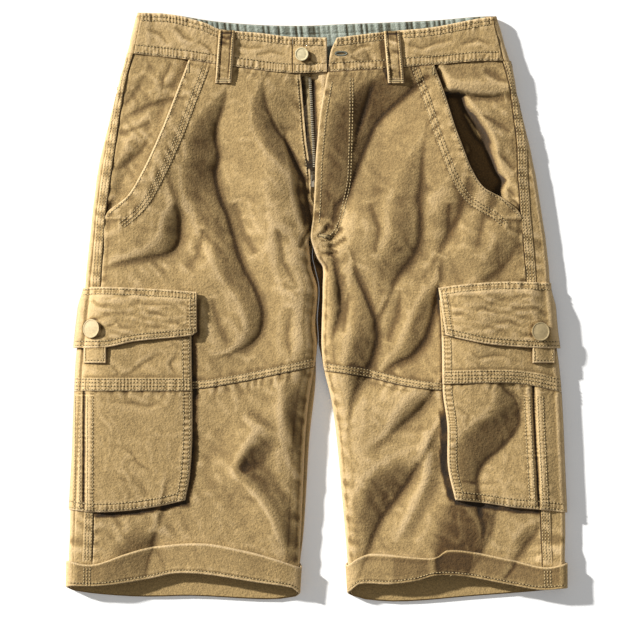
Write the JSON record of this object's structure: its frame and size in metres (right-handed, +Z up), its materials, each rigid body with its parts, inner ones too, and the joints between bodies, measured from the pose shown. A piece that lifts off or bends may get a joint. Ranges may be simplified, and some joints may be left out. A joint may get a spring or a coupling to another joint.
{
  "type": "cargo shorts",
  "caption": "Knee-length canvas cargo shorts laid flat, front up: slant pockets, flapped cargo pockets, open fly and waist, turned-up cuffs",
  "frame": {"origin": "centre of the bounding box's base, on the surface the shorts lie on", "axes": "+Y to the waist, +Z up out of the front, +X to the right as seen from above"},
  "size_m": [0.5755, 0.6761, 0.0362],
  "materials": {
    "cloth": "washed tan cotton canvas, worn lighter at the edges and seams",
    "lining": "grey-green twill, shirred with dark stitches",
    "zip_tape": "olive woven tape",
    "button": "cream and tan, softly shining",
    "zip_metal": "dull aged metal"
  },
  "bodies": {
    "garment": {"back_left": "cloth", "back_right": "cloth", "belt_loop_back_centre": "cloth", "belt_loop_back_left": "cloth", "belt_loop_back_right": "cloth", "belt_loop_front_left": "cloth", "belt_loop_front_right": "cloth", "button_extension": "cloth", "cuff_left": "cloth", "cuff_right": "cloth", "fly_shield": "cloth", "front_lower_left": "cloth", "front_lower_right": "cloth", "front_upper_left": "cloth", "front_upper_right": "cloth", "hip_left": "cloth", "hip_right": "cloth", "pocket_button_left": "button", "pocket_button_right": "button", "pocket_flap_left": "cloth", "pocket_flap_right": "cloth", "pocket_lower_left": "cloth", "pocket_lower_right": "cloth", "pocket_tab_left": "cloth", "pocket_tab_right": "cloth", "pocket_upper_left": "cloth", "pocket_upper_right": "cloth", "waist_button": "button", "waistband_back": "cloth", "waistband_front_left": "cloth", "waistband_front_right": "cloth", "waistband_lining": "lining", "zip_slider": "zip_metal", "zip_tape_left": "zip_tape", "zip_tape_right": "zip_tape"},
    "pull": {"zip_pull": "zip_metal"}
  },
  "joints": [
    {"name": "zip_pull_hinge", "type": "hinge", "parent": "garment", "child": "pull", "pos_m": [-0.00485, 0.1505, 0.0124], "axis": [-1, 0, 0], "range_deg": [0, 170]}
  ]
}
